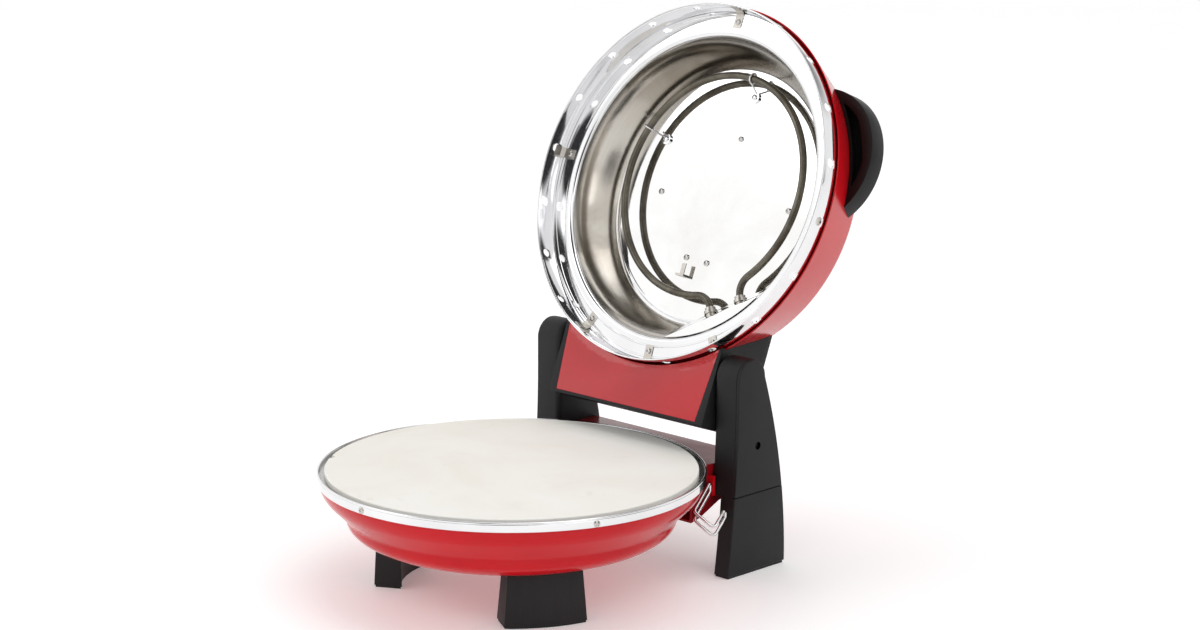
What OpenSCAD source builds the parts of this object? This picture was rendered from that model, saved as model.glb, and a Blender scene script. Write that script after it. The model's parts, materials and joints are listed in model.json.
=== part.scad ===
// Electric pizza maker: a round pan with a baking stone, and a domed lid hinged between two uprights.
// Frame: +Z up, origin on the table under the middle of the stone, -Y is the front, +Y the hinge side.
// Angles round the pan and the lid run from +X towards the front (-Y).
// Lid pieces are built closed and then swung open about the hinge, which is the rest position.

/* [Pan] */
// Outside diameter of the chrome rim
rim_d = 340; // [330:1:352]
// Height of the rim's top edge above the table
rim_top_z = 108; // [104:0.5:112]
// Depth of the painted pan below the rim's top edge
pan_depth = 64; // [60:0.5:70]
// How far the pan's waist lies inside its mouth
waist_inset = 23.8; // [18:0.1:26]
// Height of the chrome band
band_h = 8.4; // [7:0.1:11]
// Thickness of the chrome band
band_t = 1.2; // [0.8:0.1:1.6]
// Thickness of the painted steel sheet
sheet_t = 1.2; // [0.8:0.1:1.6]
// Number of screws round the rim
rim_screw_n = 5; // [3:1:8]

/* [Baking stone] */
// How far the stone's edge lies inside the rim's outer face
stone_inset = 7; // [6:0.1:10]
// Thickness of the baking stone
stone_t = 14; // [10:0.5:16]
// How far the stone stands above the rim
stone_proud = 1; // [0:0.1:1.5]
// Gap round the stone in its seat
stone_gap = 0.8; // [0.5:0.1:1.2]

/* [Heaters] */
// Diameter of the heating tubes
tube_d = 6.6; // [5.6:0.1:8]
// How far the upper heating ring lies inside the mirror disc's edge
upper_ring_inset = 12; // [10:0.5:16]
// How far the lower heating ring lies inside the rim
lower_ring_inset = 66; // [62:0.5:74]
// Thickness of the reflector sheet
reflector_t = 0.8; // [0.5:0.1:1]

/* [Lid] */
// How far the lid's chrome skirt lies inside the rim's outer face
skirt_inset = 5; // [4.6:0.1:6]
// Height of the chrome skirt, with the part that the dome's edge covers
skirt_h = 22; // [20:0.5:24]
// How far the dome's edge reaches down over the skirt
dome_lap = 3.2; // [2:0.1:4.5]
// Number of vent holes round the skirt
vent_n = 20; // [12:1:24]
// Diameter of each vent hole
vent_d = 7.8; // [6:0.1:9]
// Height of the dome above the skirt's mouth edge
dome_h = 97; // [90:0.5:104]
// How far the bowl's wall narrows from its flange to its foot
bowl_w = 23.8; // [20:0.1:28]
// Depth of the mirror disc inside the lid
disc_depth = 63; // [58:0.5:66]
// Width of the flat polished flange inside the skirt
flange_w = 18.1; // [16:0.1:21]
// Gap between the stone and the closed lid
lid_gap = 3; // [1:0.1:4]

/* [Handle] */
// How far the handle stands out past the skirt
handle_out = 16; // [12:0.1:22]
// Thickness of the handle
handle_t = 17; // [14:0.5:20]
// Direction of the handle round the lid
handle_angle = 24; // [15:1:35]

/* [Hinge] */
// Distance of the hinge axis behind the rim
hinge_back = 8.2; // [6.5:0.1:10]
// Height of the hinge axis
hinge_z = 153.6; // [152:0.1:156]
// Diameter of each hinge pin
pin_d = 10; // [8:0.5:12]
// How far the lid stands open at rest
open_angle = 111.75; // [95:0.25:115]
// Half width of the hinge box
box_half_w = 94.5; // [88:0.5:104]
// Height of the hinge box
box_h = 62; // [58:0.5:64]

/* [Uprights] */
// Gap between the hinge box and each upright
post_gap = 1.5; // [0.8:0.1:4]
// Thickness of each upright above the seam
post_t = 28.5; // [26:0.5:28.5]
// Thickness of each leg below the seam
leg_t = 17; // [14:0.5:22]
// Height of the seam between leg and post
seam_z = 73; // [66:0.5:76]
// Height of the middle of the rounded top
arch_z = 178; // [174:0.5:182]
// Thickness of the outer covers
cover_t = 3; // [2:0.1:4]

/* [Feet] */
// How far the front feet stand inside the rim
foot_inset = 49; // [46:0.5:56]
// Width of each front foot at the table
foot_w = 73; // [60:0.5:80]
// Radial thickness of each front foot
foot_t = 24; // [18:0.5:28]
// Thickness of the rubber pads
pad_t = 2; // [1:0.1:3]

/* [Hidden] */
$fn = 96;
fit = 0.05;
body_gap = 0.3;

// colours
red_paint = "#c3161f";
dark_red = "#7c1015";
black_plastic = "#262626";
chrome_steel = "#d9d9dc";
satin_steel = "#a89e92";
stone_cream = "#ece6da";
element_steel = "#4b443c";
ceramic_white = "#e8e4dc";

// pan
rim_r = rim_d / 2;
hinge_y = rim_r + hinge_back;
upright_out_x = box_half_w + post_gap + post_t;
foot_r = rim_r - foot_inset;
pan_r = rim_r - band_t;
pan_seat_z = rim_top_z - 4.5;
pan_floor_z = rim_top_z - pan_depth;
crown_h = 22;
crown_w = 50;
waist_r = pan_r - waist_inset;
waist_z = pan_floor_z + crown_h;
waist_fillet = 5;
slope_start = [waist_r + waist_fillet * (1 - cos(45)), waist_z + waist_fillet * sin(45)];
shoulder_r = ((pan_seat_z - slope_start[1]) - (pan_r - slope_start[0])) / (2 * sin(45) - 1);
rim_screw_angle = 20;
rim_screw_z = rim_top_z - band_h / 2 - 1;
bead_r = 1;

// stone and its dish
stone_r = rim_r - stone_inset;
stone_top_z = rim_top_z + stone_proud;
stone_z = stone_top_z - stone_t;
seat_r = stone_r + stone_gap;
ledge_w = 13;
dish_floor_z = pan_floor_z + 21;
dish_floor_r = rim_r - 52;
notch_r = 5;
notch_angle = 146;

// lower heater
tube_r = tube_d / 2;
lower_ring_r = rim_r - lower_ring_inset;
bend_draw = 0.02;
bend_lap = 0.1;
lower_tube_z = dish_floor_z + reflector_t + 11;
lower_bend_r = 14;
lower_lead_x = 20;
lead_turn = asin((lower_lead_x + lower_bend_r) / (lower_ring_r + lower_bend_r));
lead_start_y = (lower_ring_r + lower_bend_r) * cos(lead_turn);
lead_end_y = rim_r + 6;
collar_r = tube_r + 2.4;
stand_angles = [90, 210, 330];

// rear housing
housing_half_w = upright_out_x - post_t - body_gap;
housing_y = rim_r - 42;
housing_rear_y = rim_r + 34;
housing_top_z = rim_top_z - band_h - body_gap;
housing_rear_low_z = housing_top_z - 25.3;
housing_low = [
    [housing_y, pan_floor_z + 6], [housing_y + 12, pan_floor_z + 9],
    [housing_y + 36, housing_rear_low_z - 10], [housing_rear_y, housing_rear_low_z]
];
rear_plate_low_z = housing_rear_low_z + 2.5;
rear_screw_inset = 15.7;
housing_t = 2;
rear_plate_t = 1.5;
gland_x = -52;
gland_z = housing_top_z - 13.3;
gland_r = 6.5;
cord_hole_r = 3.6;

// uprights
leg_front_y = rim_r - 25;
leg_rear_y = rim_r + 52;
front_lean = 10.5;
front_lean_z = 150;
rear_lean = 31.05;
rear_curve = rear_lean / pow(arch_z, 2);
foot_lean = 0.08;
arch_r = (upright_rear_y(arch_z) - upright_front_y(arch_z)) / 2;
arch_y = (upright_rear_y(arch_z) + upright_front_y(arch_z)) / 2;
post_in_x = upright_out_x - post_t;
leg_in_x = upright_out_x - leg_t;
cover_in_x = upright_out_x - cover_t;
cover_inset = 0.4;
cover_screw = [arch_y + 0.8, seam_z + 43.2];
cover_screw_l = 12;
screw_head_r = 3.2;
screw_shank_r = 1.6;

// hinge
pin_r = pin_d / 2;
pin_in_x = box_half_w - 11;
pin_out_x = cover_in_x - 4;
boss_r = pin_r + 5;

// lid, heights measured up from the skirt's mouth edge
lid_z = stone_top_z + lid_gap;
skirt_r = rim_r - skirt_inset;
skirt_t = 1;
skirt_turn_w = 2.5;
skirt_turn_h = 5;
flange_out_r = skirt_r - skirt_t - skirt_turn_w - fit;
flange_r = flange_out_r - flange_w;
bowl_round = 3.8;
bowl_foot_r = flange_r - bowl_w;
bowl_lip_w = 5;
disc_r = bowl_foot_r - bowl_lip_w;
upper_ring_r = disc_r - upper_ring_inset;
vent_angle = -4.5;
vent_h = skirt_h / 2 - 1.4;
dome_foot_h = skirt_h - dome_lap;
dome_foot_r = skirt_r + 2 * body_gap + sheet_t;
dome_flat_r = dome_foot_r - 66.8;
dome_crown_w = dome_foot_r - dome_flat_r - 19.5;
dome_crown_h = 27;
dome_crown_start = 12;
dome_shoulder = [
    dome_flat_r + dome_crown_w * cos(dome_crown_start), dome_h - dome_crown_h * (1 - sin(dome_crown_start))
];
clip_angles = [-4, 88, 176, -60.5, -88, -118];
clip_drop = 12;
clip_t = 0.6;
clip_screw_inset = 8;
flange_h = skirt_h - 1;

// upper heater, its plane is parallel to the disc
upper_tube_h = disc_depth - 13.3;
ring_at = [0.6, -8.3];
ring_left = 80;
ring_right = 47;
lead_ratio = upper_ring_r / 102.4;
left_end = sized([[1, 18, 70], [0, 17.5]], lead_ratio);
right_end = sized([[-1, 16, 77], [0, 15]], lead_ratio);
shield_angle = -60.5;
shield_top_d = disc_r + 14;
shield_low_d = disc_r - 10.7;
shield_r = flange_r - bowl_round - 0.6;
shield_t = 0.8;
shield_end_gap = 1;
lead_gap_w = 60;
tube_clip_angles = [82, 155];
tube_clip_tail = 15;
disc_ratio = disc_r / 114.5;
disc_screw_spots = disc_ratio * [[8.6, -55.8], [-68.7, 3.4], [84.9, 1.5], [-17.6, 59.2], [7.7, 61.1]];
sensor_spot = disc_ratio * [-20, 65.5];

// hinge box and panel
panel_t = 1.2;
panel_z = lid_z + 13.2;
panel_front_y = rim_r - 32;
panel_rear_y = rim_r + 36;
panel_front_half_w = box_half_w - 3;
panel_rear_half_w = box_half_w - 9;
box_front_y = rim_r - 78;
box_rear_y = hinge_y + 30.3;
box_wall = 3;
box_round = 22;
skirt_clear = 1.4;

// handle
handle_low_h = 49;
handle_round_r = 62;
handle_end_wall = 9;
handle_band_t = 3;
handle_pocket_w = 10;
handle_pocket_h = 11;
handle_screw_angles = [-17, 17];
handle_screw_h = handle_low_h + handle_t / 2 + 1;
handle_screw_l = 9;

// ---------- helpers ----------

// Unit normal on the left of the way from a to b
function left_normal(a, b) = let (d = b - a, l = norm(d)) [-d[1] / l, d[0] / l];

// Radius of the dome's straight lower wall at height h
function shell_r(h) = dome_foot_r
    + (dome_shoulder[0] - dome_foot_r) * (h - dome_foot_h) / (dome_shoulder[1] - dome_foot_h);

// The path moved sideways by t, with mitred corners
function moved_path(p, t) = [
    for (i = [0:len(p) - 1])
        let (
            n0 = left_normal(p[max(i - 1, 0)], p[max(i, 1)]),
            n1 = left_normal(p[min(i, len(p) - 2)], p[min(i + 1, len(p) - 1)])
        )
        p[i] + t * (n0 + n1) / (1 + n0 * n1)
];

function reversed(p) = [for (i = [len(p) - 1:-1:0]) p[i]];

// Points along an arc of an ellipse, leaving out the first ones on request
function arc(c, rx, ry, a0, a1, n, first = 0) = [
    for (i = [first:n]) let (a = a0 + (a1 - a0) * i / n) c + [rx * cos(a), ry * sin(a)]
];

// Front and rear edges of an upright at height z
function upright_front_y(z) = leg_front_y + front_lean * (1 - pow(max(1 - z / front_lean_z, 0), 2));
function upright_rear_y(z) = leg_rear_y - rear_curve * z * z;

// The same bends and runs for a ring of another size
function sized(steps, k) = [for (s = steps) s[0] == 0 ? [0, s[1] * k] : [s[0], s[1] * k, s[2]]];

// Half width of the panel and the box at a place along Y
function panel_half_w(y) = panel_rear_half_w
    + (panel_front_half_w - panel_rear_half_w) * (panel_rear_y - y) / (panel_rear_y - panel_front_y);

// A turned sheet of thickness t on the left of its path
module turned_sheet(path, t) {
    rotate_extrude()
        polygon(concat(path, reversed(moved_path(path, t))));
}

module at_angle(a, r) {
    rotate([0, 0, -a])
        translate([r, 0, 0])
            children();
}

// An outline in Y and Z, drawn out from x0 to x1
module along_x(x0, x1) {
    translate([x0, 0, 0])
        rotate([90, 0, 90])
            linear_extrude(height = x1 - x0)
                children();
}

module both_sides() {
    children();
    mirror([1, 0, 0])
        children();
}

// A straight round rod from p to q
module rod(p, q, r) {
    d = q - p;
    translate(p)
        rotate([0, acos(d[2] / norm(d)), atan2(d[1], d[0])])
            cylinder(h = norm(d), r = r);
}

// A bent tube in a plane, from the origin along +X. A step is [0, length] or [turn, radius, angle],
// where turn is 1 to the left and -1 to the right.
module tube_run(steps, r, i = 0) {
    if (i < len(steps)) {
        s = steps[i];
        if (s[0] == 0) {
            translate([-bend_lap, 0, 0])
                rotate([0, 90, 0])
                    cylinder(h = s[1] + 2 * bend_lap, r = r);
            translate([s[1], 0, 0])
                tube_run(steps, r, i + 1);
        } else {
            mirror([0, s[0] < 0 ? 1 : 0, 0])
                translate([0, s[1], 0])
                    rotate([0, 0, -90])
                        rotate_extrude(angle = s[2])
                            translate([s[1], 0])
                                circle(r = r - bend_draw, $fn = 32);
            translate([0, s[0] * s[1], 0])
                rotate([0, 0, s[0] * s[2]])
                    translate([0, -s[0] * s[1], 0])
                        tube_run(steps, r, i + 1);
        }
    }
}

// Where a bent tube ends: [x, y, heading], for one that starts at such a place
function run_end(steps, at, i = 0) = i == len(steps) ? at
    : steps[i][0] == 0
    ? run_end(steps, [at[0] + steps[i][1] * cos(at[2]), at[1] + steps[i][1] * sin(at[2]), at[2]], i + 1)
    : let (r = steps[i][0] * steps[i][1], h = at[2] + steps[i][0] * steps[i][2])
        run_end(steps, [at[0] + r * (sin(h) - sin(at[2])), at[1] + r * (cos(at[2]) - cos(h)), h], i + 1);

// Places children at [x, y, heading], with +X along the heading
module heading(at) {
    translate([at[0], at[1], 0])
        rotate([0, 0, at[2]])
            children();
}

// A cross-head screw: the head stands on z = 0 and the shank goes down
module cross_screw(head_r, head_h, shank_r, shank_l) {
    difference() {
        intersection() {
            cylinder(h = head_h, r = head_r, $fn = 32);
            translate([0, 0, head_h - 2 * head_r])
                sphere(r = 2 * head_r, $fn = 48);
        }
        for (a = [0, 90])
            rotate([0, 0, a])
                translate([-head_r * 0.55, -head_r * 0.11, head_h * 0.45])
                    cube([head_r * 1.1, head_r * 0.22, head_h]);
    }
    translate([0, 0, -shank_l])
        cylinder(h = shank_l, r = shank_r, $fn = 24);
}

// Lid pieces are built closed; this swings them open about the hinge
module opened() {
    translate([0, hinge_y, hinge_z])
        rotate([-open_angle, 0, 0])
            translate([0, -hinge_y, -hinge_z])
                children();
}

module in_lid() {
    opened()
        translate([0, 0, lid_z])
            children();
}

// ---------- base ----------

pan_path = concat(
    [[0, pan_floor_z]],
    arc([waist_r - crown_w, waist_z], crown_w, crown_h, -90, 0, 10),
    arc([waist_r + waist_fillet, waist_z], waist_fillet, waist_fillet, 180, 135, 3, 1),
    arc([pan_r - shoulder_r, pan_seat_z], shoulder_r, shoulder_r, -45, 0, 6)
);

// The pan's outer shape, grown by a fit, for cutting what carries it
module pan_solid() {
    rotate_extrude()
        polygon(concat(moved_path(pan_path, -fit), [[0, pan_seat_z]]));
}

module lead_holes(r) {
    for (x = [-lower_lead_x, lower_lead_x])
        translate([x, lead_start_y, lower_tube_z])
            rotate([-90, 0, 0])
                cylinder(h = lead_end_y - lead_start_y, r = r, $fn = 48);
}

module rim_screw_places() {
    for (i = [0:rim_screw_n - 1])
        at_angle(rim_screw_angle + i * 360 / rim_screw_n, rim_r)
            translate([0, 0, rim_screw_z])
                rotate([0, 90, 0])
                    children();
}

module rim_screw_holes() {
    rim_screw_places()
        translate([0, 0, -5])
            cylinder(h = 8, r = screw_shank_r + fit, $fn = 24);
}

module base_pan() {
    color(red_paint)
        difference() {
            turned_sheet(pan_path, sheet_t);
            translate([0, 0, pan_seat_z])
                cylinder(h = sheet_t, r = rim_r);
            lead_holes(collar_r + body_gap);
            rim_screw_holes();
            for (a = [30, 150])
                at_angle(a, foot_r - foot_t / 2)
                    cylinder(h = rim_top_z, r = screw_shank_r + fit, $fn = 24);
        }
}

// The band, with a rolled bead along its top edge
module rim_band() {
    band_z = rim_top_z - band_h;
    bead = [rim_r - bead_r, rim_top_z - bead_r];
    bead_end = 360 - acos((pan_r - bead[0]) / bead_r);
    color(chrome_steel)
        difference() {
            rotate_extrude()
                polygon(concat([[pan_r, band_z], [rim_r, band_z]], arc(bead, bead_r, bead_r, 0, bead_end, 12)));
            rim_screw_holes();
        }
}

module rim_screws() {
    color(chrome_steel)
        rim_screw_places()
            cross_screw(3, 1.4, screw_shank_r, 3);
}

dish_path = [
    [0, dish_floor_z],
    [dish_floor_r, dish_floor_z],
    [seat_r - ledge_w, stone_z - reflector_t],
    [seat_r, stone_z - reflector_t],
    [seat_r, pan_seat_z],
    [pan_r - fit, pan_seat_z]
];

module lower_reflector() {
    color(chrome_steel)
        difference() {
            turned_sheet(dish_path, reflector_t);
            rim_screw_holes();
            lead_holes(collar_r + fit);
            for (a = stand_angles)
                at_angle(a, lower_ring_r)
                    cylinder(h = rim_top_z, r = screw_shank_r + fit, $fn = 24);
        }
}

module baking_stone() {
    color(stone_cream)
        difference() {
            translate([0, 0, stone_z])
                rotate_extrude()
                    polygon([
                        [0, 0], [stone_r - 1, 0], [stone_r, 1],
                        [stone_r, stone_t - 1], [stone_r - 1, stone_t], [0, stone_t]
                    ]);
            at_angle(notch_angle, stone_r + 1)
                translate([0, 0, stone_top_z - 4])
                    cylinder(h = 8, r = notch_r, $fn = 32);
        }
}

module lower_element() {
    lap_angle = atan(bend_lap / lower_ring_r);
    color(element_steel)
        translate([0, 0, lower_tube_z]) {
            rotate([0, 0, 90 + lead_turn - lap_angle])
                rotate_extrude(angle = 360 - 2 * lead_turn + 2 * lap_angle)
                    translate([lower_ring_r, 0])
                        circle(r = tube_r, $fn = 32);
            both_sides()
                rotate([0, 0, 90 - lead_turn])
                    translate([lower_ring_r, 0, 0])
                        rotate([0, 0, 90])
                            tube_run([[-1, lower_bend_r, 90 - lead_turn], [0, lead_end_y - lead_start_y]], tube_r);
        }
}

// Ferrules that seal the heater's ends where they pass the dish
module lower_element_collars() {
    dish_wall_y = dish_floor_r + (seat_r - ledge_w - dish_floor_r)
        * (lower_tube_z - dish_floor_z) / (stone_z - reflector_t - dish_floor_z);
    color(satin_steel)
        both_sides()
            translate([lower_lead_x, dish_wall_y - 7, lower_tube_z])
                rotate([-90, 0, 0])
                    difference() {
                        cylinder(h = 18, r = collar_r, $fn = 48);
                        translate([0, 0, -1])
                            cylinder(h = 20, r = tube_r + fit, $fn = 48);
                    }
}

// Bent strips that carry the heating ring above the dish
module lower_element_stands() {
    foot_z = dish_floor_z + reflector_t;
    strip_w = 10;
    strip_t = 1;
    color(satin_steel)
        for (a = stand_angles)
            at_angle(a, lower_ring_r) {
                difference() {
                    translate([-8, -strip_w / 2, foot_z])
                        cube([16, strip_w, strip_t]);
                    translate([0, 0, foot_z - 1])
                        cylinder(h = strip_t + 2, r = screw_shank_r + fit, $fn = 24);
                }
                for (x = [-8, 7])
                    translate([x, -strip_w / 2, foot_z])
                        cube([strip_t, strip_w, lower_tube_z - foot_z + 1]);
                translate([-8, -strip_w / 2, lower_tube_z - tube_r - strip_t])
                    cube([16, strip_w, strip_t]);
                translate([0, 0, foot_z + strip_t])
                    cross_screw(2.6, 1.6, screw_shank_r, 5);
            }
}

module thermal_cutout() {
    plate_t = 1.2;
    color(satin_steel)
        translate([0, 40, dish_floor_z]) {
            translate([-12, -6, -plate_t])
                cube([24, 12, plate_t]);
            translate([0, 0, -9])
                cylinder(h = 9 - plate_t, r = 8, $fn = 48);
            for (x = [-5, 5])
                translate([x - 0.4, -3, -15])
                    cube([0.8, 6, 6]);
        }
}

housing_outline = concat(housing_low, [[housing_rear_y, housing_top_z], [housing_y, housing_top_z]]);

module rear_housing() {
    inner = housing_rear_y - rear_plate_t;
    color(dark_red)
        difference() {
            along_x(-housing_half_w, housing_half_w)
                polygon(housing_outline);
            along_x(-housing_half_w + housing_t, housing_half_w - housing_t)
                polygon(concat(
                    moved_path(housing_low, housing_t),
                    [[housing_rear_y + 1, housing_rear_low_z + housing_t]],
                    [[housing_rear_y + 1, housing_top_z - housing_t], [housing_y - 1, housing_top_z - housing_t]]
                ));
            pan_solid();
            along_x(-housing_half_w + housing_t, housing_half_w - housing_t)
                translate([inner, housing_rear_low_z + 1])
                    square([5, housing_top_z - housing_rear_low_z - 2]);
        }
}

module housing_cover() {
    color(dark_red)
        difference() {
            translate([-housing_half_w + housing_t, housing_rear_y - rear_plate_t, rear_plate_low_z])
                cube([
                    2 * (housing_half_w - housing_t), rear_plate_t, housing_top_z - housing_t - rear_plate_low_z
                ]);
            translate([gland_x, housing_rear_y - 5, gland_z])
                rotate([-90, 0, 0])
                    cylinder(h = 10, r = gland_r + fit, $fn = 48);
            for (x = [rear_screw_inset - housing_half_w, 0, housing_half_w - rear_screw_inset])
                translate([x, housing_rear_y - 5, gland_z])
                    rotate([-90, 0, 0])
                        cylinder(h = 10, r = screw_shank_r + fit, $fn = 24);
        }
}

module housing_screws() {
    color(chrome_steel)
        for (x = [rear_screw_inset - housing_half_w, 0, housing_half_w - rear_screw_inset])
            translate([x, housing_rear_y, gland_z])
                rotate([-90, 0, 0])
                    cross_screw(2.8, 1.6, screw_shank_r, 8);
}

module cord_gland() {
    color(black_plastic)
        translate([gland_x, housing_rear_y - 6, gland_z])
            rotate([-90, 0, 0])
                difference() {
                    union() {
                        cylinder(h = 12, r = gland_r, $fn = 48);
                        translate([0, 0, 6])
                            cylinder(h = 2.5, r = gland_r + 2, $fn = 48);
                        cylinder(h = 4.5, r = gland_r + 1.5, $fn = 48);
                    }
                    translate([0, 0, -1])
                        cylinder(h = 14, r = cord_hole_r, $fn = 48);
                }
}

module terminal_block() {
    color(ceramic_white)
        difference() {
            translate([-16, lead_end_y + 4, lower_tube_z - 10])
                cube([32, 14, 20]);
            along_x(-20, 20)
                polygon(concat([[housing_y, 0]], moved_path(housing_low, housing_t), [[housing_rear_y, 0]]));
            for (x = [-10, 0, 10])
                translate([x, lead_end_y + 3, lower_tube_z + 4])
                    rotate([-90, 0, 0])
                        cylinder(h = 16, r = 2, $fn = 24);
        }
}

module front_foot() {
    top_z = rim_top_z - band_h;
    color(black_plastic)
        difference() {
            intersection() {
                rotate_extrude()
                    polygon([
                        [foot_r - foot_t, pad_t], [foot_r, pad_t],
                        [foot_r - 5, top_z], [foot_r - foot_t + 3, top_z]
                    ]);
                along_x(0, foot_r + 1)
                    polygon([
                        [-foot_w / 2, 0], [foot_w / 2, 0],
                        [foot_w / 2 - foot_lean * top_z, top_z], [foot_lean * top_z - foot_w / 2, top_z]
                    ]);
            }
            pan_solid();
            translate([foot_r - foot_t / 2, 0, -1])
                cylinder(h = 30, r = 5, $fn = 32);
            translate([foot_r - foot_t / 2, 0, 0])
                cylinder(h = rim_top_z, r = screw_shank_r + fit, $fn = 24);
        }
}

module right_front_foot() {
    at_angle(30, 0)
        front_foot();
}

module left_front_foot() {
    at_angle(150, 0)
        front_foot();
}

module foot_screws() {
    color(chrome_steel)
        for (a = [30, 150])
            at_angle(a, foot_r - foot_t / 2)
                translate([0, 0, 29])
                    rotate([180, 0, 0])
                        cross_screw(3.4, 2, screw_shank_r, 26);
}

module foot_pads() {
    color("#151515") {
        for (a = [30, 150])
            at_angle(a, 0)
                intersection() {
                    rotate_extrude()
                        translate([foot_r - foot_t + 1, 0])
                            square([foot_t - 2, pad_t]);
                    translate([0, 1 - foot_w / 2, -1])
                        cube([foot_r, foot_w - 2, pad_t + 2]);
                }
        both_sides()
            translate([leg_in_x + 1, leg_front_y + 2, 0])
                cube([leg_t - 2, leg_rear_y - leg_front_y - 4, pad_t]);
    }
}

// ---------- uprights ----------

module leg() {
    edge = [for (i = [0:8]) pad_t + (seam_z - pad_t) * i / 8];
    color(black_plastic)
        along_x(leg_in_x, upright_out_x)
            polygon(concat(
                [for (z = edge) [upright_front_y(z), z]],
                [for (z = reversed(edge)) [upright_rear_y(z), z]]
            ));
}

module right_leg() {
    leg();
}

module left_leg() {
    mirror([1, 0, 0])
        leg();
}

module post_outline(inset) {
    edge = [for (i = [0:10]) seam_z + inset + (arch_z - seam_z - inset) * i / 10];
    polygon(concat(
        [for (z = edge) [upright_front_y(z) + inset, z]],
        arc([arch_y, arch_z], arch_r - inset, arch_r - inset, 180, 0, 24),
        [for (z = reversed(edge)) [upright_rear_y(z) - inset, z]]
    ));
}

module post() {
    color(black_plastic)
        difference() {
            along_x(post_in_x, cover_in_x)
                post_outline(0);
            translate([post_in_x - 1, hinge_y, hinge_z])
                rotate([0, 90, 0])
                    cylinder(h = pin_out_x - post_in_x + 1, r = pin_r + 0.02);
            translate([cover_in_x - cover_screw_l - 2, cover_screw[0], cover_screw[1]])
                rotate([0, 90, 0])
                    cylinder(h = cover_screw_l + 3, r = screw_shank_r + fit, $fn = 24);
        }
}

module right_post() {
    post();
}

module left_post() {
    mirror([1, 0, 0])
        post();
}

module post_cover() {
    color("#2c2c2c")
        difference() {
            along_x(cover_in_x, upright_out_x)
                post_outline(cover_inset);
            translate([cover_in_x - 1, cover_screw[0], cover_screw[1]])
                rotate([0, 90, 0])
                    cylinder(h = cover_t + 2, r = screw_head_r + 0.3, $fn = 32);
        }
}

module right_post_cover() {
    post_cover();
}

module left_post_cover() {
    mirror([1, 0, 0])
        post_cover();
}

module post_cover_screws() {
    color("#3a3a3a")
        both_sides()
            translate([cover_in_x, cover_screw[0], cover_screw[1]])
                rotate([0, 90, 0])
                    cross_screw(screw_head_r, 1.6, screw_shank_r, cover_screw_l);
}

module hinge_pins() {
    color(satin_steel)
        both_sides()
            translate([pin_in_x, hinge_y, hinge_z])
                rotate([0, 90, 0])
                    cylinder(h = pin_out_x - pin_in_x, r = pin_r);
}

// ---------- wire hooks ----------

wire_r = 1.4;
hook_rise = [0, 0, 8];
lug_t = 2.4;
lug_y = upright_front_y(seam_z) - body_gap - lug_t;
hook_root = [housing_half_w + 3.5, lug_y - wire_r - fit, housing_top_z - 23.3];
hook_knee = hook_root + [0, -21, -22];
hook_toe = [leg_in_x + 10, hook_knee[1] + 6, hook_knee[2] - 13];
hook_tip = hook_toe + [0, 15, 15];

module hook_path(points) {
    for (i = [0:len(points) - 2])
        rod(points[i], points[i + 1], wire_r);
    for (p = points)
        translate(p)
            sphere(r = wire_r + 0.05, $fn = 24);
}

module wire_hook() {
    lower = [hook_root, hook_knee, hook_toe, hook_tip];
    upper = [for (p = reversed(lower)) p + hook_rise];
    color(chrome_steel)
        hook_path(concat(lower, upper, [hook_root]), $fn = 24);
}

module right_wire_hook() {
    wire_hook();
}

module left_wire_hook() {
    mirror([1, 0, 0])
        wire_hook();
}

// Red tongues that the hooks hang on
module hook_lugs() {
    color(red_paint)
        both_sides()
            along_x(housing_half_w, housing_half_w + 6)
                translate([lug_y, hook_root[2] - 4])
                    square([lug_t, 18]);
}

// ---------- lid ----------

dome_path = concat(
    [[dome_foot_r, dome_foot_h]],
    arc([dome_flat_r, dome_h - dome_crown_h], dome_crown_w, dome_crown_h, dome_crown_start, 90, 10),
    [[0, dome_h]]
);

module dome_solid(extra = 0) {
    rotate_extrude()
        polygon(concat(moved_path(dome_path, -extra), [[0, dome_foot_h]]));
}

module lid_shell() {
    in_lid()
        color(red_paint)
            difference() {
                turned_sheet(dome_path, sheet_t);
                handle_screw_places()
                    cylinder(h = handle_screw_l, r = screw_shank_r + fit, $fn = 24);
            }
}

module lid_skirt() {
    lip_r = 0.8;
    bead = [skirt_r - lip_r, lip_r];
    turn_r = skirt_r - skirt_turn_w;
    turn_h = skirt_h - skirt_turn_h;
    in_lid()
        color(chrome_steel)
            difference() {
                rotate_extrude()
                    polygon(concat(
                        [[skirt_r - skirt_t, turn_h], [turn_r - skirt_t, skirt_h]],
                        [[turn_r, skirt_h], [skirt_r, turn_h]],
                        arc(bead, lip_r, lip_r, 0, acos((skirt_r - skirt_t - bead[0]) / lip_r) - 360, 12)
                    ));
                for (i = [0:vent_n - 1])
                    at_angle(vent_angle + i * 360 / vent_n, skirt_r - 5)
                        translate([0, 0, vent_h])
                            rotate([0, 90, 0])
                                cylinder(h = 10, r = vent_d / 2, $fn = 32);
            }
}

bowl_mouth = [flange_r - bowl_round, flange_h + bowl_round];
bowl_foot = [bowl_foot_r, disc_depth - reflector_t];

bowl_path = concat(
    [[flange_out_r, flange_h]],
    arc([flange_r, bowl_mouth[1]], bowl_round, bowl_round, -90, -180, 6),
    [for (t = [1:7]) bowl_point(t / 7)],
    [[disc_r, bowl_foot[1]]]
);

// The wall bulges a little between its mouth and its foot
function bowl_point(t) = bowl_mouth + (bowl_foot - bowl_mouth) * t
    + [5 * sin(180 * t) * (1 - t), 2 * sin(180 * t) * (1 - t)];

module bowl_reflector() {
    in_lid()
        color(satin_steel)
            difference() {
                turned_sheet(bowl_path, -reflector_t);
                rim_clip_screw_places()
                    cylinder(h = 4, r = screw_shank_r + fit, $fn = 24);
                rotate([0, 0, -shield_angle])
                    translate([disc_r - 18, -lead_gap_w / 2, upper_tube_h - 10])
                        cube([60, lead_gap_w, 16]);
            }
}

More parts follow.
